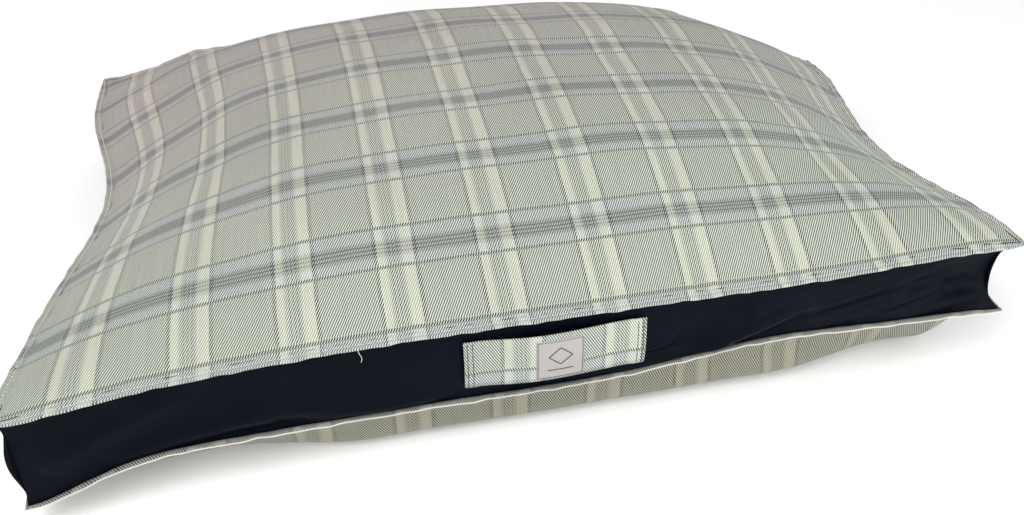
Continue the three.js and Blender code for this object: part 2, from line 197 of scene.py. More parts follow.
# how the bed lies once it is down, given in half-centimetre steps: round, soft-edged moves of the top
# and base seams
settling = dict(
    frontLeftCorner=dict(at=(-0.5, -0.35), top=0.0, base=0.01, slide=(0.0, 0.0), reach=0.17),
    frontLeftTip=dict(at=(-0.5, -0.35), top=0.0, base=-0.025, slide=(-0.01, -0.01), reach=0.07),
    frontRightCorner=dict(at=(0.5, -0.35), top=0.02, base=0.025, slide=(0.0, 0.01), reach=0.17),
    rearRightCorner=dict(at=(0.5, 0.35), top=-0.06, base=-0.05, slide=(-0.02, -0.02), reach=0.18),
    rearLeftCorner=dict(at=(-0.5, 0.35), top=-0.03, base=-0.03, slide=(0.025, 0.0), reach=0.16),
    frontSeam=dict(at=(0.25, -0.35), top=0.0, base=0.02, slide=(-0.01, 0.0), reach=0.13),
    rightSide=dict(at=(0.5, -0.1), top=-0.01, base=0.0, slide=(-0.035, 0.0), reach=0.17),
    leftSide=dict(at=(-0.5, 0.0), top=-0.025, base=-0.01, slide=(0.05, 0.02), reach=0.19),
    crown=dict(at=(0.0, 0.2), top=0.01, base=0.0, slide=(0.0, 0.01), reach=0.3))
# how far each corner seam is drawn in half-way up its wall
waistReach = 0.07
waists = [dict(at=(-0.5, -0.35), pull=-0.02), dict(at=(0.5, -0.35), pull=-0.002),
          dict(at=(0.5, 0.35), pull=0.0),
          dict(at=(-0.5, 0.35), pull=0.0)]


def settle(points, levels):
    settled = points.copy()
    beyond = np.maximum(0, np.abs(points[:, 0]) - zipRun["half"] + 0.03)
    fromZip = np.sqrt((points[:, 1] - zipRun["face"]) ** 2 + (points[:,
                                                                     2] - zipRun["middle"]) ** 2 + beyond ** 2)
    free = 1 - np.exp(-(np.maximum(0, fromZip - 0.016) / 0.05) ** 2)
    offFloor = np.clip(points[:, 2] / 0.03, 0, 1)
    for patch in settling.values():
        away = ((points[:, :2] - np.array(patch["at"])) ** 2).sum(1)
        share = np.exp(-away / patch["reach"] ** 2) * offFloor * free
        settled[:, 2] += (patch["base"] + (patch["top"] - patch["base"]) * levels) * share
        settled[:, 0] += patch["slide"][0] * share
        settled[:, 1] += patch["slide"][1] * share
    for waist in waists:
        corner = np.array(waist["at"])
        away = ((points[:, :2] - corner) ** 2).sum(1)
        share = np.exp(-away / waistReach ** 2) * np.sin(np.pi * levels)
        settled[:, :2] -= share[:, None] * waist["pull"] * np.sign(corner)
    settled[:, 2] = np.maximum(settled[:, 2], 0.0)
    return settled


# the filling rolls the base panel out below the middle of the front seam
belly = dict(fromX=-0.34, toX=0.40, fade=0.16, down=0.045, reach=0.15, out=0.028)


def easeIn(t):
    t = np.clip(t, 0, 1)
    return t * t * (3 - 2 * t)


def plumpBelly(points):
    fuller = points.copy()
    for (i, j, k), number in numbers.items():
        if k == 0 and j * 2 < cells[1]:
            inwards = j * bag["cell"]
            x = points[number][0]
            along = easeIn((x - belly["fromX"]) / belly["fade"]) * easeIn((belly["toX"] - x) / belly["fade"])
            roll = easeIn(inwards / belly["down"]) * (1 - easeIn((inwards - belly["down"]) / belly["reach"]))
            fuller[number][1] -= belly["out"] * along * roll
    return fuller


numbers, cutPoints, startPoints = bagPoints()
levels = np.array([k / cells[2] for i, j, k in numbers])
bagShape = fillBag(numbers, cutPoints, startPoints)
bagShape = plumpBelly(settle(bagShape, levels))
print("bag filled, box", bagShape.min(0).round(3), bagShape.max(0).round(3))


def gridOf(points, fixed, value):
    spans = [range(n + 1) for n in cells]
    spans[fixed] = [value]
    rows = [[points[numbers[i, j, k]] for k in spans[2]] for i in spans[0] for j in spans[1]]
    shape = [len(s) for s in spans if len(s) > 1]
    return np.array(rows).reshape(*shape, 3)


grids = dict(top=gridOf(bagShape, 2, cells[2]), bottom=gridOf(bagShape, 2, 0), front=gridOf(bagShape, 1, 0),
             rear=gridOf(bagShape, 1, cells[1]), left=gridOf(bagShape, 0, 0),
             right=gridOf(bagShape, 0, cells[0]))
print("bag grids ready")


# a smooth curve through evenly spaced points, read at any place between them
def curveShares(count, places):
    shares = np.zeros((len(places), count))
    for row, place in enumerate(places):
        base = min(int(place), count - 2)
        f = place - base
        cubic = (-0.5 * f + f * f - 0.5 * f ** 3, 1 - 2.5 * f * f + 1.5 * f ** 3,
                 0.5 * f + 2 * f * f - 1.5 * f ** 3, -0.5 * f * f + 0.5 * f ** 3)
        for step, share in zip((-1, 0, 1, 2), cubic):
            where = base + step
            if where < 0:
                shares[row, 0] += 2 * share
                shares[row, 1] -= share
            elif where >= count:
                shares[row, -1] += 2 * share
                shares[row, -2] -= share
            else:
                shares[row, where] += share
    return shares


def readGrid(grid, across, along):
    halfway = np.tensordot(curveShares(grid.shape[0], across), grid, (1, 0))
    return np.tensordot(curveShares(grid.shape[1], along), halfway, (1, 1)).transpose(1, 0, 2)


def unit(vectors):
    return vectors / np.maximum(np.linalg.norm(vectors, axis=-1, keepdims=True), 1e-9)


def outwards(points):
    return unit(np.cross(np.gradient(points, axis=0), np.gradient(points, axis=1)))


def waves(s, lengths, seed):
    shift = np.random.default_rng(seed).uniform(0, 6.28, len(lengths))
    return sum(np.sin(6.2832 * s / length + turn) for length, turn in zip(lengths, shift)) / len(lengths)


def gridFaces(n, m, first=0):
    return [(first + i * m + j, first + (i + 1) * m + j, first + (i + 1) * m + j + 1, first + i * m + j + 1)
            for i in range(n - 1) for j in range(m - 1)]


# a mesh piece with its flat cloth coordinates kept on it, riding on the cushion
def makePiece(name, points, faces, material, slotName, flat=None, thick=0.0):
    mesh = bpy.data.meshes.new(name)
    mesh.from_pydata(np.asarray(points).reshape(-1, 3).tolist(), [], faces)
    mesh.polygons.foreach_set("use_smooth", [True] * len(mesh.polygons))
    if flat is not None:
        laid = mesh.attributes.new("clothPlace", "FLOAT_VECTOR", "POINT")
        laid.data.foreach_set("vector", np.asarray(flat, np.float32).reshape(-1, 3).ravel())
    mesh.validate()
    mesh.update()
    mesh.materials.append(material)
    piece = bpy.data.objects.new(name, mesh)
    bpy.context.scene.collection.objects.link(piece)
    if thick:
        skin = piece.modifiers.new("thickness", "SOLIDIFY")
        skin.thickness = thick
        skin.offset = -1
    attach(piece, "cushion")
    return piece


# shader helpers
def addNode(tree, kind, inputs=None, **settings):
    made = tree.nodes.new(kind)
    for name, value in settings.items():
        setattr(made, name, value)
    for name, value in (inputs or {}).items():
        if isinstance(value, bpy.types.NodeSocket):
            tree.links.new(value, made.inputs[name])
        else:
            made.inputs[name].default_value = value
    return made


def calc(tree, operation, *values):
    return addNode(tree, "ShaderNodeMath", dict(enumerate(values)), operation=operation).outputs[0]


def mixColour(tree, share, first, second, mode="MIX"):
    made = addNode(tree, "ShaderNodeMix", data_type="RGBA", blend_type=mode)
    for place, value in ((0, share), (6, first), (7, second)):
        if isinstance(value, bpy.types.NodeSocket):
            tree.links.new(value, made.inputs[place])
        else:
            made.inputs[place].default_value = value
    return made.outputs[2]


def ramp(tree, place, stops):
    made = addNode(tree, "ShaderNodeValToRGB", {"Fac": place})
    made.color_ramp.interpolation = "LINEAR"
    bands = made.color_ramp.elements
    ends = (bands[0], bands[1])
    for band, (where, colour) in zip(ends, (stops[0], stops[-1])):
        band.position = where
        band.color = (*colour, 1)
    for where, colour in stops[1:-1]:
        bands.new(where).color = (*colour, 1)
    return made.outputs["Color"]


def newGroup(name, inputs, outputs):
    tree = bpy.data.node_groups.new(name, "ShaderNodeTree")
    for label, kind, start in inputs:
        made = tree.interface.new_socket(name=label, in_out="INPUT", socket_type="NodeSocket" + kind)
        if start is not None:
            made.default_value = start
    for label, kind in outputs:
        tree.interface.new_socket(name=label, in_out="OUTPUT", socket_type="NodeSocket" + kind)
    return tree, tree.nodes.new("NodeGroupInput").outputs, tree.nodes.new("NodeGroupOutput").inputs


def useGroup(tree, group, **values):
    made = tree.nodes.new("ShaderNodeGroup")
    made.node_tree = group
    for label, value in values.items():
        if isinstance(value, bpy.types.NodeSocket):
            tree.links.new(value, made.inputs[label])
        else:
            made.inputs[label].default_value = value
    return made.outputs


def newMaterial(name, **surface):
    material = bpy.data.materials.new(name)
    material.use_nodes = True
    tree = material.node_tree
    finish = tree.nodes["Principled BSDF"]
    for label, value in surface.items():
        finish.inputs[label.replace("_", " ")].default_value = value
    return material, tree, finish


def bumpInto(tree, finish, height, strength, distance):
    made = addNode(tree, "ShaderNodeBump", {"Height": height, "Strength": strength, "Distance": distance})
    tree.links.new(made.outputs[0], finish.inputs["Normal"])


# Plaid twill: warp and weft carry the same order of stripes, each in its own yarns; the twill decides which yarn is on top, so a dark
# warp yarn comes out as a dotted line wherever it passes under the weft.
plaid = dict(repeat=(bag["cutWidth"] + 0.02) / 10.14, startAcross=-0.35, startAlong=0.39,
             twillAcross=0.00262, twillAlong=0.0043,
             warpBand=0.40, weftBand=0.42, darkLine=0.037)
yarn = dict(grey=(0.13, 0.135, 0.127), white=(0.61, 0.62, 0.545), cream=(0.415, 0.40, 0.325),
            sky=(0.60, 0.635, 0.625),
            slate=(0.16, 0.17, 0.155), dark=(0.008, 0.009, 0.012), mid=(0.42, 0.43, 0.395),
            thread=(0.03, 0.032, 0.035),
            soft=(0.14, 0.145, 0.145))


# one repeat of stripes: a dark line, a pale stripe, a greyer middle with fine threads, a pale stripe, a dark line, ground
def stripes(band, ground, pale, centre, thread, threads, line):
    fine = 0.0052
    stops = [(0.0, yarn["dark"]), (line, yarn["dark"]), (line + 0.004, pale), (band * 0.26, pale),
             (band * 0.33, centre)]
    for share in threads:
        stops += [(band * share - fine * 1.5, centre), (band * share - fine, thread),
                  (band * share + fine, thread),
                  (band * share + fine * 1.5, centre)]
    stops += [(band * 0.67, centre), (band * 0.74, pale), (band - 0.004, pale), (band, yarn["dark"]),
              (band + line, yarn["dark"]), (band + line + 0.004, ground), (0.992, ground)]
    return stops


def plaidGroup():
    tree, given, result = newGroup("Plaid twill", [("Cloth place", "Vector", None), ("Lean", "Float", 1.0)],
                                   [("Color", "Color"), ("Height", "Float"), ("Roughness", "Float")])
    # the yarns wander a little
    wander = addNode(tree, "ShaderNodeTexNoise",
                     {"Vector": given["Cloth place"], "Scale": 38.0, "Detail": 2.0})
    drift = addNode(tree, "ShaderNodeVectorMath", {0: wander.outputs["Color"], 1: (0.5, 0.5, 0.5)},
                    operation="SUBTRACT")
    slip = addNode(tree, "ShaderNodeVectorMath", {0: drift.outputs[0], "Scale": 0.0016}, operation="SCALE")
    moved = addNode(tree, "ShaderNodeVectorMath", {0: given["Cloth place"], 1: slip.outputs[0]},
                    operation="ADD")
    split = addNode(tree, "ShaderNodeSeparateXYZ", {0: moved.outputs[0]})
    across, along = split.outputs[0], split.outputs[1]
    u = calc(tree, "FRACT", calc(tree, "ADD", calc(tree, "DIVIDE", across, plaid["repeat"]),
                                 plaid["startAcross"] + 9))
    v = calc(tree, "FRACT", calc(tree, "ADD", calc(tree, "DIVIDE", along, plaid["repeat"]),
                                 plaid["startAlong"] + 9))
    line = plaid["darkLine"]
    warp = ramp(tree, u, stripes(plaid["warpBand"], yarn["grey"], yarn["cream"], yarn["slate"],
                                 yarn["thread"],
                                 (0.40, 0.5, 0.60), line))
    weft = ramp(tree, v, stripes(plaid["weftBand"], yarn["white"], yarn["sky"], yarn["mid"], yarn["soft"],
                                 (0.40, 0.5, 0.60), line * 0.9))
    # painted highlight: beside a dark weft yarn the warp is painted paler, standing in for the light its high float
    # catches
    warpHighlight = [(0.0, yarn["white"]), (line, yarn["white"]), (line + 0.003, yarn["dark"]),
              (plaid["weftBand"] - 0.003, yarn["dark"]),
              (plaid["weftBand"], yarn["white"]), (plaid["weftBand"] + line, yarn["white"]),
              (plaid["weftBand"] + line + 0.003, yarn["dark"])]
    warp = mixColour(tree, 0.8, warp, ramp(tree, v, warpHighlight), "LIGHTEN")
    warpYarn = calc(tree, "MULTIPLY", calc(tree, "DIVIDE", across, plaid["twillAcross"]), given["Lean"])
    phase = calc(tree, "SUBTRACT", warpYarn, calc(tree, "DIVIDE", along, plaid["twillAlong"]))
    wave = calc(tree, "SINE", calc(tree, "MULTIPLY", phase, 2 * math.pi))
    fuzz = addNode(tree, "ShaderNodeTexNoise",
                   {"Vector": given["Cloth place"], "Scale": 900.0, "Detail": 1.0})
    uneven = calc(tree, "MULTIPLY", calc(tree, "SUBTRACT", fuzz.outputs["Fac"], 0.5), 0.8)
    weftUp = addNode(tree, "ShaderNodeMapRange",
                     {"Value": calc(tree, "ADD", wave, uneven), "From Min": -0.28,
                                                  "From Max": 0.28, "To Min": 0.0,
                      "To Max": 1.0}).outputs[0]
    woven = mixColour(tree, weftUp, warp, weft)
    # a shadow line where each float dips under the next
    dip = calc(tree, "COSINE", calc(tree, "MULTIPLY", phase, 2 * math.pi))
    shadow = addNode(tree, "ShaderNodeMapRange",
                     {"Value": dip, "From Min": 0.1, "From Max": 1.0, "To Min": 1.0, "To Max": 0.40})
    grooved = addNode(tree, "ShaderNodeCombineColor",
                      {0: shadow.outputs[0], 1: shadow.outputs[0], 2: shadow.outputs[0]})
    woven = mixColour(tree, 1.0, woven, grooved.outputs[0], "MULTIPLY")
    # each yarn takes the dye a little differently, and the whole cloth drifts from cream to rose grey
    streak = addNode(tree, "ShaderNodeMapping",
                     {"Vector": given["Cloth place"], "Scale": (520.0, 12.0, 1.0)})
    dye = addNode(tree, "ShaderNodeTexNoise", {"Vector": streak.outputs[0], "Scale": 1.0, "Detail": 1.0})
    patch = addNode(tree, "ShaderNodeTexNoise",
                    {"Vector": given["Cloth place"], "Scale": 5.0, "Detail": 3.0})
    shade = calc(tree, "ADD", calc(tree, "MULTIPLY", dye.outputs["Fac"], 0.28),
                 calc(tree, "MULTIPLY", patch.outputs["Fac"], 0.22))
    lightness = calc(tree, "ADD", shade, 0.76)
    dyed = mixColour(tree, 1.0, woven,
                     addNode(tree, "ShaderNodeCombineColor", {0: lightness, 1: lightness, 2: lightness})
                     .outputs[0], "MULTIPLY")
    far = addNode(tree, "ShaderNodeMapRange",
                  {"Value": calc(tree, "SUBTRACT", along, calc(tree, "MULTIPLY", across, 0.25)),
                                               "From Min": 0.0, "From Max": 0.55, "To Min": 0.0,
                   "To Max": 1.0})
    cast = mixColour(tree, far.outputs[0], (0.955, 1.0, 0.955, 1), (1.0, 0.885, 0.905, 1))
    tree.links.new(mixColour(tree, 1.0, dyed, cast, "MULTIPLY"), result["Color"])
    ridge = calc(tree, "ABSOLUTE", wave)
    tree.links.new(calc(tree, "SUBTRACT", calc(tree, "MULTIPLY", fuzz.outputs["Fac"], 0.5), ridge),
                   result["Height"])
    tree.links.new(calc(tree, "ADD", calc(tree, "MULTIPLY", fuzz.outputs["Fac"], 0.2), 0.72),
                   result["Roughness"])
    return tree


# fine plain weave with soft crumples, for the gussets, tapes and linings
def weaveGroup():
    tree, given, result = newGroup("Plain weave", [("Cloth place", "Vector", None), ("Base", "Color", None),
                                                   ("Yarn", "Float", 0.0005), ("Unevenness", "Float", 0.2)],
                                   [("Color", "Color"), ("Height", "Float"), ("Roughness", "Float")])
    split = addNode(tree, "ShaderNodeSeparateXYZ", {0: given["Cloth place"]})
    turns = calc(tree, "DIVIDE", math.pi, given["Yarn"])
    acrossWave = calc(tree, "SINE", calc(tree, "MULTIPLY", split.outputs[0], turns))
    alongWave = calc(tree, "SINE", calc(tree, "MULTIPLY", split.outputs[1], turns))
    knots = calc(tree, "MULTIPLY", acrossWave, alongWave)
    cloudy = addNode(tree, "ShaderNodeTexNoise",
                     {"Vector": given["Cloth place"], "Scale": 22.0, "Detail": 5.0,
                                                  "Roughness": 0.6})
    grain = addNode(tree, "ShaderNodeTexNoise",
                    {"Vector": given["Cloth place"], "Scale": 700.0, "Detail": 2.0})
    both = calc(tree, "ADD", calc(tree, "MULTIPLY", cloudy.outputs["Fac"], 1.3),
                calc(tree, "MULTIPLY", grain.outputs["Fac"], 0.7))
    level = calc(tree, "ADD", 1.0,
                 calc(tree, "MULTIPLY", calc(tree, "SUBTRACT", both, 1.0), given["Unevenness"]))
    grey = addNode(tree, "ShaderNodeCombineColor", {0: level, 1: level, 2: level}).outputs[0]
    tree.links.new(mixColour(tree, 1.0, given["Base"], grey, "MULTIPLY"), result["Color"])
    crumple = addNode(tree, "ShaderNodeTexNoise",
                      {"Vector": given["Cloth place"], "Scale": 60.0, "Detail": 3.0, "Distortion": 0.6})
    tree.links.new(calc(tree, "ADD", calc(tree, "MULTIPLY", knots, 0.06), crumple.outputs["Fac"]),
                   result["Height"])
    tree.links.new(calc(tree, "ADD", calc(tree, "MULTIPLY", cloudy.outputs["Fac"], 0.16), 0.34),
                   result["Roughness"])
    return tree


# two plies twisted together, for every sewing thread
def threadGroup():
    tree, given, result = newGroup("Thread twist", [("Place", "Vector", None), ("Base", "Color", None)],
                                   [("Color", "Color"), ("Height", "Float")])
    split = addNode(tree, "ShaderNodeSeparateXYZ", {0: given["Place"]})
    diagonal = calc(tree, "ADD", calc(tree, "ADD", split.outputs[0], split.outputs[1]), split.outputs[2])
    ply = calc(tree, "SINE", calc(tree, "MULTIPLY", diagonal, 9000.0))
    # painted shade: the thread's colour darkens with the ply height, in the groove between the two plies
    level = calc(tree, "ADD", calc(tree, "MULTIPLY", ply, 0.15), 0.9)
    grey = addNode(tree, "ShaderNodeCombineColor", {0: level, 1: level, 2: level}).outputs[0]
    tree.links.new(mixColour(tree, 1.0, given["Base"], grey, "MULTIPLY"), result["Color"])
    tree.links.new(ply, result["Height"])
    return tree


plaidCloth = plaidGroup()
plainWeave = weaveGroup()
threadTwist = threadGroup()


def solidPlace(tree):
    return addNode(tree, "ShaderNodeTexCoord").outputs["Object"]


def plaidMaterial(name, lean=1.0, tint=None):
    material, tree, finish = newMaterial(name, Specular_IOR_Level=0.18, Sheen_Weight=0.12,
                                         Sheen_Roughness=0.6)
    place = addNode(tree, "ShaderNodeAttribute", attribute_name="clothPlace").outputs["Vector"]
    cloth = useGroup(tree, plaidCloth, **{"Cloth place": place, "Lean": lean})
    colour = cloth["Color"] if tint is None else mixColour(tree, 1.0, cloth["Color"], (*tint, 1),
                                                           "MULTIPLY")
    tree.links.new(colour, finish.inputs["Base Color"])
    tree.links.new(cloth["Roughness"], finish.inputs["Roughness"])
    bumpInto(tree, finish, cloth["Height"], 0.35, 0.0004)
    return material


def wovenMaterial(name, base, yarnSize, unevenness, strength, distance, onCad=False, **surface):
    material, tree, finish = newMaterial(name, **surface)
    place = addNode(tree, "ShaderNodeAttribute", attribute_name="clothPlace").outputs["Vector"]
    if onCad:
        place = solidPlace(tree)
    cloth = useGroup(tree, plainWeave,
                     **{"Cloth place": place, "Base": (*base, 1), "Yarn": yarnSize,
                        "Unevenness": unevenness})
    tree.links.new(cloth["Color"], finish.inputs["Base Color"])
    tree.links.new(cloth["Roughness"], finish.inputs["Roughness"])
    bumpInto(tree, finish, cloth["Height"], strength, distance)
    return material


def threadMaterial(name, base):
    material, tree, finish = newMaterial(name, Roughness=0.7, Sheen_Weight=0.2)
    twist = useGroup(tree, threadTwist, Place=solidPlace(tree), Base=(*base, 1))
    tree.links.new(twist["Color"], finish.inputs["Base Color"])
    bumpInto(tree, finish, twist["Height"], 0.3, 0.0001)
    return material


topPlaid = plaidMaterial("plaid twill, top")
# painted shade: the base panel is a darker, browner copy of the top plaid, standing in for its underside lying in
# shadow
shadedBasePlaid = plaidMaterial("plaid twill, base", tint=(0.60, 0.56, 0.52))
strapPlaid = plaidMaterial("plaid twill, handle", lean=-1.0, tint=(0.98, 1.0, 1.02))
nylon = wovenMaterial("black nylon gusset", (0.0014, 0.0026, 0.0060), 0.0004, 0.7, 0.3, 0.0018,
                      Specular_IOR_Level=0.045, Sheen_Weight=0.004, Sheen_Roughness=0.3,
                      Sheen_Tint=(0.5, 0.65, 0.9, 1))
calico = wovenMaterial("calico lining", (0.74, 0.71, 0.63), 0.0005, 0.15, 0.25, 0.0006,
                       Specular_IOR_Level=0.2)
wadding = wovenMaterial("polyester fibre", (0.84, 0.84, 0.82), 0.004, 0.12, 0.8, 0.006,
                        Specular_IOR_Level=0.2)
satin = wovenMaterial("label satin", (0.33, 0.315, 0.308), 0.00035, 0.12, 0.3, 0.0003,
                      Specular_IOR_Level=0.45)
careSatin = wovenMaterial("care label satin", (0.78, 0.78, 0.76), 0.00035, 0.1, 0.3, 0.0004,
                          Specular_IOR_Level=0.45)
darkThread = threadMaterial("dark thread", (0.016, 0.017, 0.022))
paleThread = threadMaterial("pale thread", (0.74, 0.74, 0.70))
print("cloth materials made")

# The plaid panels: the filled surface, and past its seam a folded flange with the topstitching in it.
panel = dict(step=0.5, pucker=0.0011, puckerReach=0.02, swell=0.0016, thick=0.0012)
topFlange = dict(rows=((0.0015, 0.0), (0.0034, -0.0003), (0.0041, -0.0009), (0.0048, -0.0003),
                       (0.0075, 0.0002),
                       (0.0093, -0.0002), (0.0099, -0.0012), (0.0093, -0.0023), (0.006, -0.0026),
                       (0.001, -0.0026)),
                 spring=0.12, sag=0.02, wave=0.0012, stitchRow=2)
baseFlange = dict(rows=((0.001, 0.0), (0.0022, 0.0002), (0.0038, 0.0002), (0.0052, -0.0003),
                        (0.0057, -0.0012),
                        (0.005, -0.0021), (0.0025, -0.0024), (0.0006, -0.0024)),
                  spring=0.1, sag=0.0, wave=0.0012, stitchRow=2)


def flatPlaces(across, along):
    x = np.asarray(across)[:, None] * bag["cutWidth"] / cells[0] + np.zeros((1, len(along)))
    y = np.asarray(along)[None, :] * bag["cutDepth"] / cells[1] + np.zeros((len(across), 1))
    return np.stack([x, y, np.zeros_like(x)], -1)


def rimOrder(n, m):
    front = [(i, 0) for i in range(n - 1)]
    right = [(n - 1, j) for j in range(m - 1)]
    rear = [(i, m - 1) for i in range(n - 1, 0, -1)]
    left = [(0, j) for j in range(m - 1, 0, -1)]
    return front + right + rear + left


def buildPanel(name, grid, upside, flange, material, seed):
    across = np.arange(0, cells[0] + 1e-6, panel["step"])
    along = np.arange(0, cells[1] + 1e-6, panel["step"])
    points = readGrid(grid, across, along)
    flat = flatPlaces(across, along)
    normals = outwards(points) * upside
    n, m = points.shape[:2]
    fromSides = np.minimum(flat[..., 0], bag["cutWidth"] - flat[..., 0])
    fromEnds = np.minimum(flat[..., 1], bag["cutDepth"] - flat[..., 1])
    fromEdge = np.minimum(fromSides, fromEnds)
    edgeShare = np.exp(-fromEdge / panel["puckerReach"]) * (1 - np.exp(-(fromEdge + 0.001) / 0.006))
    seamPlace = np.where(fromSides < fromEnds, flat[..., 1], flat[..., 0])
    puckers = waves(seamPlace, (0.026, 0.041, 0.067), seed) * panel["pucker"] * edgeShare * 1.8
    inside = 1 - np.exp(-(fromEdge / 0.08) ** 2)
    swell = waves(flat[..., 0] + 0.35 * flat[..., 1], (0.17, 0.29), seed + 1)
    swell = swell + waves(flat[..., 1] - 0.2 * flat[..., 0], (0.13, 0.23), seed + 2)
    points = points + normals * (puckers + swell * panel["swell"] * inside)[..., None]
    points[..., 2] = np.maximum(points[..., 2], 0.0)
    order = rimOrder(n, m)
    rim = np.array([points[i, j] for i, j in order])
    rimFlat = np.array([flat[i, j] for i, j in order])
    inner = np.array([points[min(max(i, 1), n - 2), min(max(j, 1), m - 2)] for i, j in order])
    outFlat = np.array([((i == n - 1) - (i == 0), (j == m - 1) - (j == 0), 0.0) for i, j in order], float)
    spread = np.linalg.norm(outFlat, axis=1, keepdims=True)
    level = unit(outFlat)
    lean = unit(flange["spring"] * unit(rim - inner) + (1 - flange["spring"]) * level - np.array((0, 0,
                                                                                                  flange["sag"])))
    out = lean * spread
    ahead = unit(np.roll(rim, -1, 0) - np.roll(rim, 1, 0))
    up = unit(np.cross(out, ahead)) * upside
    up[:, 2] = np.abs(up[:, 2]) * upside
    place = np.arange(len(order)) * panel["step"] * bag["cell"]
    ripple = waves(place, (0.029, 0.047, 0.083), seed + 3) * flange["wave"]
    edge = 1 + 0.05 * waves(place, (0.021, 0.06), seed + 4)
    cutSize = np.array((bag["cutWidth"], bag["cutDepth"]))
    toCorner = np.linalg.norm(np.minimum(rimFlat[:, :2], cutSize - rimFlat[:, :2]), axis=1)
    edge *= 0.4 + 0.6 * np.clip(toCorner / 0.045, 0, 1) ** 0.7
    vertices = [points.reshape(-1, 3)]
    laid = [flat.reshape(-1, 3)]
    foldReach = flange["rows"][5][0]
    for reach, rise in flange["rows"]:
        share = reach / foldReach
        lift = rise + ripple * min(share, 1.0) ** 2
        vertices.append(rim + out * (reach * edge)[:, None] + up * lift[:, None])
        folded = reach if rise > -0.0011 else 2 * foldReach - reach
        laid.append(rimFlat + outFlat * folded)
    count = len(order)
    faces = gridFaces(n, m)
    if upside < 0:
        faces = [face[::-1] for face in faces]
    previous = [i * m + j for i, j in order]
    for row in range(len(flange["rows"])):
        first = n * m + row * count
        current = list(range(first, first + count))
        for a in range(count):
            b = (a + 1) % count
            ring = (previous[a], current[a], current[b], previous[b])
            faces.append(ring if upside > 0 else ring[::-1])
        previous = current
    piece = makePiece(name, np.concatenate(vertices), faces, material, "plaid_cloth", np.concatenate(laid),
                      thick=panel["thick"])
    return piece, vertices[1 + flange["stitchRow"]], up, rim


topPanel, topStitchLine, topStitchUp, topSeam = buildPanel("cover_top_panel", grids["top"], 1, topFlange,
                                                           topPlaid, 11)
basePanel, baseStitchLine, baseStitchUp, baseSeam = buildPanel("cover_bottom_panel", grids["bottom"], -1,
                                                               baseFlange, shadedBasePlaid, 23)
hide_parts("top_panel")
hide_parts("bottom_panel")
print("plaid panels made")

# The gusset: four black nylon walls with the creases that the filling leaves in them. A crease runs between two
# places on its wall, each (metres along, share of the height); then come its width and its depth, and a
# negative depth is a valley.
gusset = dict(step=0.25, thick=0.0009, gather=0.0009, creaseGain=1.9, valley=-0.003)
creases = dict(
    front=[((0.16, 0.03), (0.30, 0.62), 0.013, 0.0052), ((0.20, -0.02), (0.38, 0.42), 0.010, -0.0034),
           ((0.24, 0.05), (0.46, 0.50), 0.010, 0.0050), ((0.28, 0.42), (0.46, 0.86), 0.015, 0.0032),
           ((0.13, 0.30), (0.22, 0.70), 0.012, -0.0026), ((0.34, 0.03), (0.49, 0.22), 0.009, 0.0036),
           ((0.02, 0.05), (0.20, 0.16), 0.0065, 0.0030), ((0.04, 0.16), (0.18, 0.27), 0.006, -0.0024),
           ((0.00, 0.22), (0.14, 0.33), 0.006, 0.0020), ((-0.44, 0.06), (-0.28, 0.28), 0.014, 0.0036),
           ((-0.40, 0.02), (-0.25, 0.10), 0.008, -0.0024), ((-0.33, 0.28), (-0.12, 0.18), 0.014, 0.0026),
           ((-0.48, 0.30), (-0.36, 0.72), 0.016, 0.0032), ((-0.25, 0.08), (-0.10, 0.14), 0.008, 0.0024),
           ((0.40, 0.55), (0.49, 0.30), 0.009, -0.0032)],
    right=[((0.04, 0.55), (0.16, 0.40), 0.014, 0.0036), ((0.05, 0.30), (0.20, 0.22), 0.012, -0.0028),
           ((0.26, 0.12), (0.42, 0.40), 0.013, 0.0030), ((0.36, 0.62), (0.52, 0.38), 0.014, 0.0030),
           ((0.55, 0.25), (0.68, 0.55), 0.013, 0.0036), ((0.18, 0.78), (0.30, 0.64), 0.011, -0.0024)],
    left=[((0.05, 0.50), (0.20, 0.35), 0.015, 0.0034), ((0.22, 0.15), (0.38, 0.30), 0.012, 0.0028),
          ((0.34, 0.68), (0.50, 0.48), 0.013, -0.0026), ((0.48, 0.18), (0.64, 0.50), 0.014, 0.0034),
          ((0.10, 0.80), (0.22, 0.66), 0.010, 0.0020)],
    rear=[((-0.49, 0.50), (-0.40, 0.42), 0.012, 0.0026), ((0.40, 0.44), (0.49, 0.56), 0.012, 0.0026),
          ((-0.47, 0.15), (-0.37, 0.25), 0.010, -0.0022), ((0.37, 0.8), (0.47, 0.72), 0.010, -0.0022)])


def creaseLift(along, height, side):
    lift = np.zeros_like(along)
    for start, end, wide, deep in creases[side]:
        a = np.array((start[0], start[1] * bag["wallHeight"]))
        run = np.array((end[0], end[1] * bag["wallHeight"])) - a
        t = ((along - a[0]) * run[0] + (height - a[1]) * run[1]) / (run @ run)
        nearest = np.clip(t, 0, 1)
        away = np.hypot(along - a[0] - nearest * run[0], height - a[1] - nearest * run[1])
        taper = np.clip(1 - (2 * nearest - 1) ** 2, 0, 1) ** 0.6
        lift += gusset["creaseGain"] * deep * np.exp(-(away / wide) ** 2) * taper
    return lift


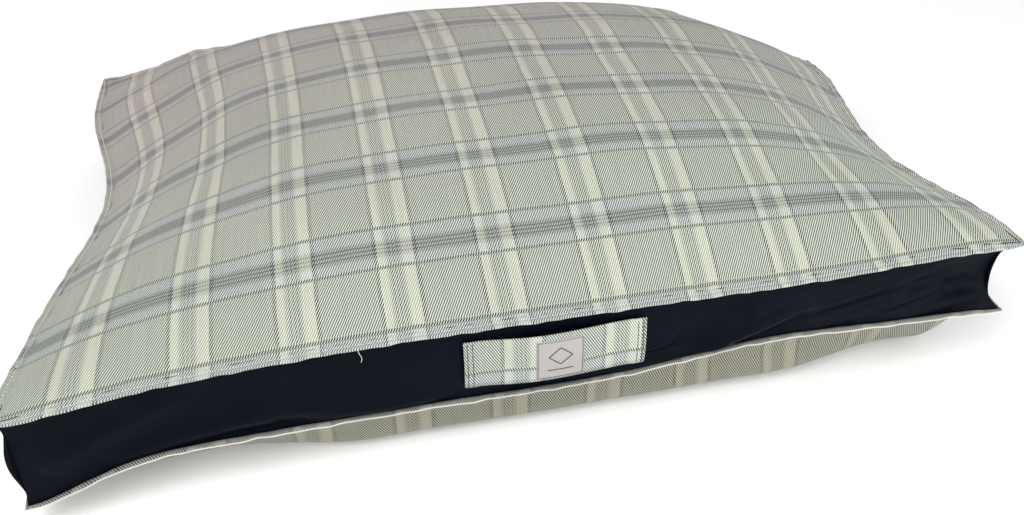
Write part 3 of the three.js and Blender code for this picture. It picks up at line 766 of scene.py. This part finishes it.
def buildWall(name, side, grid, facing, seed, low=None, high=None):
    length = grid.shape[0] - 1
    across = np.arange(0, length + 1e-6, gusset["step"])
    rows = 25 if low is None and high is None else 13
    points = np.empty((len(across), rows, 3))
    flat = np.zeros((len(across), rows, 3))
    for column, place in enumerate(across):
        heights = np.linspace(low(place) if low else 0.0, high(place) if high else cells[2], rows)
        points[column] = readGrid(grid, [place], heights)[0]
        flat[column, :, 0] = place * bag["cell"]
        flat[column, :, 1] = heights * bag["wallHeight"] / cells[2]
    normals = outwards(points) * facing
    along = flat[..., 0] - (length * bag["cell"] / 2 if side in ("front", "rear") else 0)
    height = flat[..., 1]
    seamShare = easeIn(np.minimum(height, bag["wallHeight"] - height) / 0.012)
    gathers = waves(along + 0.15 * height, (0.019, 0.033, 0.054), seed) * gusset["gather"]
    gathers = gathers * (1 - seamShare * 0.75) * np.clip(height / 0.004, 0, 1)
    endShare = easeIn(np.minimum(flat[..., 0], length * bag["cell"] - flat[..., 0]) / 0.03)
    lift = (np.maximum(creaseLift(along, height, side), gusset["valley"]) * seamShare + gathers) * endShare
    if side == "rear":
        fromZip = np.abs(points[..., 2] - zipRun["middle"])
        calm = np.clip((fromZip - zipRun["band"]) / 0.02, 0, 1)
        calm = np.where(np.abs(points[..., 0]) > zipRun["half"] + 0.02, 1.0, calm)
        lift = lift * calm
    points = points + normals * lift[..., None]
    faces = gridFaces(len(across), rows)
    if facing < 0:
        faces = [face[::-1] for face in faces]
    piece = makePiece(name, points, faces, nylon, "black_nylon", flat, thick=gusset["thick"])
    return piece, points


def zipGap(place):
    x = place / cells[0] - 0.5
    opened = np.clip((zipRun["windowHalf"] - abs(x)) / 0.006, 0, 1)
    return zipRun["shut"] + (zipRun["window"] - zipRun["shut"]) * opened


def belowZip(place):
    return cells[2] / 2 - zipGap(place) / bag["wallHeight"] * cells[2]


def aboveZip(place):
    return cells[2] / 2 + zipGap(place) / bag["wallHeight"] * cells[2]


frontWall, frontPoints = buildWall("gusset_front", "front", grids["front"], 1, seed=31)
rightWall, _ = buildWall("gusset_right", "right", grids["right"], 1, seed=32)
leftWall, _ = buildWall("gusset_left", "left", grids["left"], -1, seed=33)
rearLower, rearLowerPoints = buildWall("gusset_rear_lower", "rear", grids["rear"], -1, seed=34,
                                       high=belowZip)
rearUpper, rearUpperPoints = buildWall("gusset_rear_upper", "rear", grids["rear"], -1, seed=35,
                                       low=aboveZip)
for wall, node in ((frontWall, "front_gusset"), (rightWall, "right_gusset"), (leftWall, "left_gusset"),
                   (rearLower, "rear_gusset_lower"), (rearUpper, "rear_gusset_upper")):
    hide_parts(node)
print("gusset made")


# The inner case and its filling are the same shape, a little smaller.
inner = dict(case=0.0058, filling=0.0088, thick=0.0006, cornerIn=0.015, cornerReach=0.055)


def shrunk(depth):
    mesh = bpy.data.meshes.new("inner")
    mesh.from_pydata(bagShape.tolist(), [], bagFaces(numbers))
    mesh.update()
    normals = np.empty(len(bagShape) * 3)
    mesh.vertex_normals.foreach_get("vector", normals)
    bpy.data.meshes.remove(mesh)
    smaller = bagShape - normals.reshape(-1, 3) * depth
    for waist in waists:
        corner = np.array(waist["at"])
        share = np.exp(-((bagShape[:, :2] - corner) ** 2).sum(1) / inner["cornerReach"] ** 2)
        smaller[:, :2] -= share[:, None] * inner["cornerIn"] * np.sign(corner)
    smaller[:, 2] = np.maximum(smaller[:, 2], depth)
    return smaller


caseShape = shrunk(inner["case"])
for name, fixed, value, node, facing in (("case_top", 2, cells[2], "liner_top", 1),
                                         ("case_base", 2, 0, "liner_base", -1)):
    sheetPoints = gridOf(caseShape, fixed, value)
    faces = gridFaces(*sheetPoints.shape[:2])
    if facing < 0:
        faces = [face[::-1] for face in faces]
    flat = flatPlaces(range(cells[0] + 1), range(cells[1] + 1))
    piece = makePiece(name, sheetPoints, faces, calico, "calico", flat, thick=inner["thick"])
    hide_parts(node)

bandRing = []
for i, j in rimOrder(cells[0] + 1, cells[1] + 1):
    bandRing.append([caseShape[numbers[i, j, k]] for k in range(cells[2] + 1)])
bandPoints = np.array(bandRing)
bandRows = cells[2] + 1
bandCount = len(bandPoints)
bandFaces = [(a * bandRows + k, (a + 1) % bandCount * bandRows + k, (a + 1) % bandCount * bandRows + k + 1,
              a * bandRows + k + 1)
             for a in range(bandCount) for k in range(cells[2])]
bandFlat = np.zeros((bandCount, bandRows, 3))
bandFlat[..., 0] = np.arange(bandCount)[:, None] * bag["cell"]
bandFlat[..., 1] = np.arange(bandRows)[None, :] * bag["wallHeight"] / cells[2]
caseBand = makePiece("case_band", bandPoints, bandFaces, calico, "calico", bandFlat, thick=inner["thick"])
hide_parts("liner_band")
filling = makePiece("filling", shrunk(inner["filling"]), bagFaces(numbers), wadding, "fibre", cutPoints)
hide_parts("fibre_fill")
print("inner case and filling made")


# A row of lockstitches along a path: each is a short bead of thread that dives into the cloth at both ends.
def threadBeads(starts, ends, ups, radius, arch):
    places = (0.0, 0.16, 0.5, 0.84, 1.0)
    girths = (0.45, 0.95, 1.0, 0.95, 0.45)
    rises = (-0.7, 0.25, arch, 0.25, -0.7)
    sides = 6
    ahead = unit(ends - starts)
    aside = unit(np.cross(ahead, ups))
    above = unit(np.cross(aside, ahead))
    rings = []
    for place, girth, rise in zip(places, girths, rises):
        centre = starts + (ends - starts) * place + above * rise * radius
        for corner in range(sides):
            turn = 2 * math.pi * corner / sides
            rings.append(centre + aside * math.cos(turn) * radius * girth + above * math.sin(turn) * radius * girth)
    points = np.stack(rings, 1)
    beadSize = points.shape[1]
    faces = []
    for bead in range(len(starts)):
        first = bead * beadSize
        for ring in range(len(places) - 1):
            for corner in range(sides):
                a = first + ring * sides + corner
                b = first + ring * sides + (corner + 1) % sides
                faces.append((a, b, b + sides, a + sides))
        faces.append(tuple(first + corner for corner in reversed(range(sides))))
        faces.append(tuple(first + beadSize - sides + corner for corner in range(sides)))
    return points.reshape(-1, 3), faces


def walkPath(path, ups, pitch, closed):
    line = np.concatenate([path, path[:1]]) if closed else np.asarray(path)
    top = np.concatenate([ups, ups[:1]]) if closed else np.asarray(ups)
    run = np.concatenate([[0], np.cumsum(np.linalg.norm(np.diff(line, axis=0), axis=1))])
    count = max(1, int(round(run[-1] / pitch)))
    at = np.linspace(0, run[-1], count + 1)
    places = np.stack([np.interp(at, run, line[:, axis]) for axis in range(3)], 1)
    heads = np.stack([np.interp(at, run, top[:, axis]) for axis in range(3)], 1)
    return places, unit(heads)


def sewRow(path, ups, pitch, gap, radius, closed=False, arch=0.7):
    places, heads = walkPath(path, ups, pitch, closed)
    step = places[1:] - places[:-1]
    trim = 0.5 * gap / pitch
    return threadBeads(places[:-1] + step * trim, places[1:] - step * trim, heads[:-1], radius, arch)


def joinParts(parts):
    points = []
    faces = []
    count = 0
    for somePoints, someFaces in parts:
        points.append(somePoints)
        faces += [tuple(corner + count for corner in face) for face in someFaces]
        count += len(somePoints)
    return np.concatenate(points), faces


# each row of lockstitches: its pitch, the gap between beads and the thread's radius
sewing = dict(hem=(0.0034, 0.0009, 0.00033), handle=(0.0031, 0.0005, 0.00048),
              border=(0.0023, 0.0003, 0.00026),
              mark=(0.0012, 0.00005, 0.0005), zip=(0.0033, 0.0007, 0.0003), edgePitch=0.0024,
              edgeRadius=0.0007)
hemBeads = sewRow(topStitchLine + topStitchUp * 0.0003, topStitchUp, *sewing["hem"], closed=True)
hemStitches = makePiece("hem_topstitching", *hemBeads, paleThread, "plaid_cloth")


# the base seam is overlocked: pale loops over the raw edge all the way round
def overlock():
    outer = baseStitchLine + (baseStitchLine - baseSeam) * 0.62
    innerPlaces, heads = walkPath(baseSeam + (baseStitchLine - baseSeam) * 0.25, -baseStitchUp,
                                  sewing["edgePitch"], True)
    outerPlaces, _ = walkPath(outer, -baseStitchUp, sewing["edgePitch"], True)
    count = min(len(innerPlaces), len(outerPlaces)) - 1
    spot = np.linspace(0, 1, count + 1)

    def evenly(places):
        at = np.linspace(0, 1, len(places))
        return np.stack([np.interp(spot, at, places[:, axis]) for axis in range(3)], 1)

    inn, out, head = evenly(innerPlaces), evenly(outerPlaces), evenly(heads)
    lift = head * 0.0002
    return joinParts([threadBeads(side[:-1] + lift[:-1], out[1:] + lift[1:], head[:-1],
                                  sewing["edgeRadius"], 0.9)
                      for side in (inn, out)])


edgeStitches = makePiece("base_seam_overlock", *overlock(), paleThread, "plaid_cloth")
print("hem and edge sewing made")

# The carry handle: a two-ply plaid strap, sewn down at both ends and bowed out between them.
handle = dict(length=0.184, width=0.057, thick=0.0026, bow=0.006, sewn=0.013, centre=0.003, middle=0.1045,
              columns=93, face=21, laps=0.0006, startAcross=-0.345, startAlong=0.245,
              endRows=(0.0035, 0.0088))


def wallFinder(points, direction):
    n, m = points.shape[:2]
    tree = BVHTree.FromPolygons(points.reshape(-1, 3).tolist(), gridFaces(n, m))

    def find(x, z):
        hit = tree.ray_cast(Vector((x, -1.0 * direction, z)), Vector((0, direction, 0)))[0]
        return hit.y if hit else None

    return find


frontFace = wallFinder(frontPoints, 1)


def handleBase():
    samples = []
    for s in np.linspace(-0.095, 0.095, 20):
        for t in np.linspace(-0.028, 0.028, 8):
            samples.append((s, t, frontFace(handle["centre"] + s, handle["middle"] + t)))
    s, t, y = np.array(samples).T
    terms = np.stack([np.ones_like(s), s, s * s, t, t * t], 1)
    shape = np.linalg.lstsq(terms, y, rcond=None)[0]
    proud = (y - terms @ shape).min()
    return shape, proud


handleShape, handleProud = handleBase()


def handlePoint(s, t, n):
    wall = handleShape @ np.array([1, s, s * s, t, t * t]) + handleProud
    free = handle["length"] / 2 - handle["sewn"]
    bow = handle["bow"] * max(0.0, 1 - (s / free) ** 2) ** 2
    bow *= 1 + 0.10 * t / handle["width"]
    wobble = 0.0005 * math.sin(s * 62 + 1.2) * math.cos(t * 80)
    return handle["centre"] + s, wall - handle["thick"] / 2 - bow - wobble - n, handle["middle"] + t + 0.0006 * math.sin(s * 45)


def buildHandle():
    half = handle["thick"] / 2
    edge = handle["width"] / 2 - half
    ring = [(t, half) for t in np.linspace(-edge, edge, handle["face"])]
    ring += [(edge + half * math.sin(turn), half * math.cos(turn)) for turn in (0.8, 1.57, 2.34)]
    ring += [(t, -half) for t in np.linspace(edge, -edge, handle["face"])]
    ring += [(-edge - half * math.sin(turn), -half * math.cos(turn)) for turn in (0.8, 1.57, 2.34)]
    points = []
    flat = []
    for column in range(handle["columns"]):
        s = handle["length"] * (column / (handle["columns"] - 1) - 0.5)
        fromEnd = handle["length"] / 2 - abs(s)
        lap = handle["laps"] if fromEnd < handle["sewn"] else 0.0
        tuck = 1 - 0.55 * math.exp(-fromEnd / 0.0008)
        for t, n in ring:
            seamDip = 0.0005 * sum(math.exp(-((fromEnd - row) / 0.0011) ** 2) for row in handle["endRows"])
            points.append(handlePoint(s, t, (n + lap - (seamDip if n > 0 else 0)) * tuck))
            flat.append(((s + handle["length"] / 2) + (handle["startAcross"] - plaid["startAcross"]) * plaid["repeat"],
                         (t + handle["width"] / 2) + (handle["startAlong"] - plaid["startAlong"]) * plaid["repeat"], 0))
    around = len(ring)
    faces = [(i * around + j, (i + 1) * around + j, (i + 1) * around + (j + 1) % around,
              i * around + (j + 1) % around)
             for i in range(handle["columns"] - 1) for j in range(around)]
    last = (handle["columns"] - 1) * around
    faces += [tuple(reversed(range(around))), tuple(last + j for j in range(around))]
    return makePiece("handle_strap", points, faces, strapPlaid, "plaid_cloth", flat)


strap = buildHandle()
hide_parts("carry_handle")


def endSewing(side):
    parts = []
    for row in handle["endRows"]:
        s = side * (handle["length"] / 2 - row)
        n = handle["thick"] / 2 + handle["laps"] - 0.0003
        path = np.array([handlePoint(s, t, n) for t in np.linspace(-0.0265, 0.0265, 24)])
        parts.append(sewRow(path, np.tile((0.0, -1.0, 0.0), (24, 1)), *sewing["handle"]))
    return joinParts(parts)


for side, name, node in ((-1, "handle_sewing_left", "handle_stitching_left"),
                         (1, "handle_sewing_right", "handle_stitching_right")):
    rows = makePiece(name, *endSewing(side), darkThread, "dark_thread")
    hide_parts(node)
print("handle made")

# A plain woven label with a sewn border and a lozenge over a bar: a generic stand-in that carries no mark.
label = dict(size=0.048, centre=0.0025, drop=-0.0012, thick=0.0007, border=0.0014,
             lozenge=[(0, 0.015), (0.012, 0.005), (0, -0.005), (-0.012, 0.005), (0, 0.015)],
             bar=[(-0.013, -0.012), (0.013, -0.012)])


def labelPoint(a, b, lift):
    s = label["centre"] + a
    t = label["drop"] + b
    return handlePoint(s, t, handle["thick"] / 2 + label["thick"] + lift)


def buildLabel():
    half = label["size"] / 2
    count = 19
    steps = np.linspace(-half, half, count)
    points = np.array([[labelPoint(a, b, -0.0004 * math.exp(-(half - max(abs(a), abs(b))) / 0.0007))
                        for b in steps] for a in steps])
    flat = np.array([[(a + half, b + half, 0) for b in steps] for a in steps])
    piece = makePiece("handle_label", points, gridFaces(count, count), satin, "label_cloth", flat,
                      thick=label["thick"])
    rim = half - label["border"]
    corners = [(-rim, -rim), (rim, -rim), (rim, rim), (-rim, rim)]
    parts = []
    for a, b in zip(corners, corners[1:] + corners[:1]):
        path = np.array([labelPoint(a[0] + (b[0] - a[0]) * f, a[1] + (b[1] - a[1]) * f, 0.0)
                         for f in np.linspace(0, 1, 16)])
        parts.append(sewRow(path, np.tile((0.0, -1.0, 0.0), (16, 1)), *sewing["border"]))
    for corners in (label["lozenge"], label["bar"]):
        path = [labelPoint(a[0] + (b[0] - a[0]) * f, a[1] + (b[1] - a[1]) * f, 0.0)
                for a, b in zip(corners, corners[1:]) for f in np.linspace(0, 1, 12)[:-1]]
        path.append(labelPoint(*corners[-1], 0.0))
        parts.append(sewRow(np.array(path), np.tile((0.0, -1.0, 0.0), (len(path), 1)), *sewing["mark"]))
    return piece, makePiece("label_sewing", *joinParts(parts), darkThread, "dark_thread")


labelPiece, labelSewing = buildLabel()
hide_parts("woven_label")

care = dict(fromX=-0.438, width=0.03, drop=0.042, off=0.0014, curl=0.004, thick=0.0005)


def buildCareLabel():
    across = np.linspace(care["fromX"], care["fromX"] + care["width"], 9)
    columns = (across * bag["cutWidth"] + bag["cutWidth"] / 2) / bag["cell"]
    rows = cells[2] - np.linspace(0.0, care["drop"], 15) / bag["wallHeight"] * cells[2]
    points = readGrid(grids["rear"], columns, rows)
    normals = outwards(points[:, ::-1])[:, ::-1]
    normals = normals * np.sign(normals[..., 1:2])
    fall = np.linspace(0, 1, 15)
    off = care["off"] + gusset["thick"] + care["curl"] * fall ** 2
    points = points + normals * off[None, :, None]
    flat = np.zeros(points.shape)
    flat[..., 0] = np.linspace(0, care["width"], 9)[:, None]
    flat[..., 1] = np.linspace(0, care["drop"], 15)[None, :]
    return makePiece("care_label_blank", points, gridFaces(9, 15), careSatin, "label_cloth", flat,
                     thick=care["thick"])


careLabel = buildCareLabel()
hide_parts("care_label")
print("labels made")

# The zip: each coil is a nylon wire wound in turns where the CAD holds a plain bar.
zipWire = dict(pitch=0.0021, radius=0.00042, around=10, sides=5)


def tubeFaces(rings, sides):
    return [(r * sides + c, r * sides + (c + 1) % sides, (r + 1) * sides + (c + 1) % sides,
             (r + 1) * sides + c)
            for r in range(rings - 1) for c in range(sides)]


def buildCoil(name, node, lean):
    low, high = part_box(node)
    centre = (low + high) / 2
    tall = (high.z - low.z) / 2 - zipWire["radius"]
    deep = (high.y - low.y) / 2 - zipWire["radius"]
    steps = int((high.x - low.x) / zipWire["pitch"]) * zipWire["around"]
    turn = np.arange(steps + 1) * 2 * math.pi / zipWire["around"]
    x = low.x + zipWire["radius"] + (high.x - low.x - 2 * zipWire["radius"]) * np.arange(steps + 1) / steps
    line = np.stack([x, centre.y + deep * np.sin(turn), centre.z + lean * tall * np.cos(turn)], 1)
    ahead = unit(np.gradient(line, axis=0))
    aside = unit(np.cross(ahead, np.array((1.0, 0.0, 0.0))))
    above = np.cross(aside, ahead)
    rings = [line + (aside * math.cos(a) + above * math.sin(a)) * zipWire["radius"]
             for a in np.arange(zipWire["sides"]) * 2 * math.pi / zipWire["sides"]]
    points = np.stack(rings, 1)
    sides = zipWire["sides"]
    faces = tubeFaces(steps + 1, sides)
    faces += [tuple(range(sides)), tuple(steps * sides + c for c in reversed(range(sides)))]
    piece = makePiece(name, points, faces, coilNylon, "zip_coil")
    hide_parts(node)


def mouldedMaterial(name, base, roughness):
    material, tree, finish = newMaterial(name, Specular_IOR_Level=0.5)
    mottle = addNode(tree, "ShaderNodeTexNoise",
                     {"Vector": solidPlace(tree), "Scale": 900.0, "Detail": 2.0})
    colour = mixColour(tree, mottle.outputs["Fac"], (*[c * 0.7 for c in base], 1),
                       (*[c * 1.35 for c in base], 1))
    tree.links.new(colour, finish.inputs["Base Color"])
    tree.links.new(calc(tree, "ADD", calc(tree, "MULTIPLY", mottle.outputs["Fac"], 0.25), roughness),
                   finish.inputs["Roughness"])
    bumpInto(tree, finish, mottle.outputs["Fac"], 0.2, 0.0001)
    return material


def metalMaterial(name):
    material, tree, finish = newMaterial(name, Metallic=1.0)
    place = solidPlace(tree)
    scratch = addNode(tree, "ShaderNodeMapping", {"Vector": place, "Scale": (300.0, 900.0, 2500.0)})
    fine = addNode(tree, "ShaderNodeTexNoise", {"Vector": scratch.outputs[0], "Scale": 1.0, "Detail": 3.0})
    tarnish = addNode(tree, "ShaderNodeTexNoise", {"Vector": place, "Scale": 180.0, "Detail": 3.0})
    colour = mixColour(tree, tarnish.outputs["Fac"], (0.30, 0.29, 0.28, 1), (0.52, 0.51, 0.50, 1))
    tree.links.new(colour, finish.inputs["Base Color"])
    tree.links.new(calc(tree, "ADD", calc(tree, "MULTIPLY", fine.outputs["Fac"], 0.22), 0.2),
                   finish.inputs["Roughness"])
    bumpInto(tree, finish, fine.outputs["Fac"], 0.15, 0.00005)
    return material


coilNylon = mouldedMaterial("zip coil nylon", (0.018, 0.019, 0.023), 0.28)
zipMetal = metalMaterial("tarnished nickel")
tapeCloth = wovenMaterial("zip tape", (0.014, 0.015, 0.020), 0.0006, 0.5, 0.5, 0.0003, onCad=True,
                          Specular_IOR_Level=0.3)
buildCoil("zip_teeth_lower", "zip_coil_lower", 1)
buildCoil("zip_teeth_upper", "zip_coil_upper", -1)
for nodes, finishName in ((("zip_tape_lower", "zip_tape_upper"), tapeCloth),
                          (("zip_closing_stop_lower", "zip_closing_stop_upper", "zip_start_stop",
                            "zip_slider", "zip_pull_tab"), zipMetal)):
    for node in nodes:
        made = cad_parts[node]
        made.data.materials.clear()
        made.data.materials.append(finishName)


# a dark lockstitch each side of the zip, 3 to 4 mm in from the folded edges
def zipSewing():
    parts = []
    for points, row in ((rearLowerPoints, -2), (rearUpperPoints, 1)):
        line = points[:, row]
        keep = np.abs(line[:, 0]) < zipRun["half"]
        path = line[keep] + np.array((0.0, 0.0002, 0.0))
        parts.append(sewRow(path, np.tile((0.0, 1.0, 0.0), (len(path), 1)), *sewing["zip"]))
    return joinParts(parts)


zipStitches = makePiece("zip_sewing", *zipSewing(), darkThread, "dark_thread")
print("zip made")


# a few loose ends of thread and frayed yarn, where the sewing stops and starts
def strand(points, radius, sides=5):
    line = np.array(points, float)
    fine = readGrid(line[:, None, :].repeat(2, 1), np.linspace(0, len(line) - 1, 4 * len(line)), [0.0])[:,
                                                                                                        0]
    ahead = unit(np.gradient(fine, axis=0))
    aside = unit(np.cross(ahead, np.array((0.31, 0.52, 0.79))))
    above = np.cross(aside, ahead)
    rings = [fine + (aside * math.cos(a) + above * math.sin(a)) * radius
             for a in np.arange(sides) * 2 * math.pi / sides]
    count = len(fine)
    faces = tubeFaces(count, sides)
    faces += [tuple(reversed(range(sides))), tuple((count - 1) * sides + c for c in range(sides))]
    return np.stack(rings, 1).reshape(-1, 3), faces


def looseEnds():
    parts = []
    at = int(np.argmin(np.linalg.norm(topSeam - np.array((-0.186, topSeam[:, 1].min(), 0.145)), axis=1)))
    root = topSeam[at] + np.array((0.0, -0.0085, -0.001))
    hang = ((0.001, -0.003, -0.004), (0.003, -0.003, -0.010), (0.002, -0.002, -0.016))
    parts.append(strand([root] + [root + drop for drop in hang], 0.0003))
    corners = [int(np.argmin(np.linalg.norm(baseSeam[:, :2] - np.array(spot), axis=1)))
               for spot in ((0.52, -0.37), (-0.52, -0.37), (0.52, 0.37))]
    for corner, number in zip(corners, (9, 7, 4)):
        for _ in range(number):
            place = baseSeam[corner + int(rng.integers(-3, 3))]
            out = unit(np.array((place[0], place[1], 0.0)))
            way = out * rng.uniform(0.003, 0.006) + rng.uniform(-0.002, 0.002, 3)
            root = place + out * 0.003
            parts.append(strand([root, root + way * 0.5 + (0, 0, 0.0012), root + way + (0, 0, -0.001)],
                                0.00014, 4))
    for _ in range(120):
        spot = int(rng.integers(0, len(baseSeam)))
        place = baseStitchLine[spot]
        out = unit(place - baseSeam[spot])
        way = out * rng.uniform(0.0015, 0.0035) + rng.uniform(-0.0012, 0.0012, 3)
        parts.append(strand([place + out * 0.001, place + out * 0.001 + way * 0.6,
                             place + out * 0.001 + way], 0.0001, 3))
    return joinParts(parts)


looseThreads = makePiece("loose_threads", *looseEnds(), paleThread, "plaid_cloth")
print("loose threads made")

# A plain pale floor and soft, even light from large panels.
studio = dict(world=0.75, floor=(0.94, 0.94, 0.94), glow=0.06, tones="Standard")


def softPanel(name, place, aim, size, power):
    data = bpy.data.lights.new(name, "AREA")
    data.size = size
    data.energy = power
    lamp = bpy.data.objects.new(name, data)
    bpy.context.scene.collection.objects.link(lamp)
    lamp.location = place
    lamp.rotation_euler = (Vector(aim) - Vector(place)).to_track_quat("-Z", "Y").to_euler()


def buildStudio():
    world = bpy.data.worlds.new("studio")
    world.use_nodes = True
    backdrop = world.node_tree.nodes["Background"]
    backdrop.inputs["Color"].default_value = (1, 1, 1, 1)
    backdrop.inputs["Strength"].default_value = studio["world"]
    bpy.context.scene.world = world
    bpy.context.scene.view_settings.view_transform = studio["tones"]
    mesh = bpy.data.meshes.new("floor")
    ring = [(4 * math.cos(a), 4 * math.sin(a), -0.001) for a in np.linspace(0, 2 * math.pi, 65)[:-1]]
    mesh.from_pydata(ring, [], [tuple(range(64))])
    floor = bpy.data.objects.new("floor", mesh)
    bpy.context.scene.collection.objects.link(floor)
    material, tree, finish = newMaterial("pale floor", Roughness=0.9, Specular_IOR_Level=0.1,
                                         Emission_Color=(1, 1, 1, 1),
                                         Emission_Strength=studio["glow"])
    cloud = addNode(tree, "ShaderNodeTexNoise", {"Vector": solidPlace(tree), "Scale": 1.5, "Detail": 1.0})
    tree.links.new(mixColour(tree, cloud.outputs["Fac"], (*[c * 0.985 for c in studio["floor"]], 1),
                             (*studio["floor"], 1)),
                   finish.inputs["Base Color"])
    mesh.materials.append(material)
    softPanel("key", (-0.9, -1.1, 1.9), (0, 0, 0.1), 1.6, 34)
    softPanel("front fill", (0.95, -1.7, 0.5), (0.2, -0.3, 0.1), 0.5, 15)


buildStudio()
print("studio built")
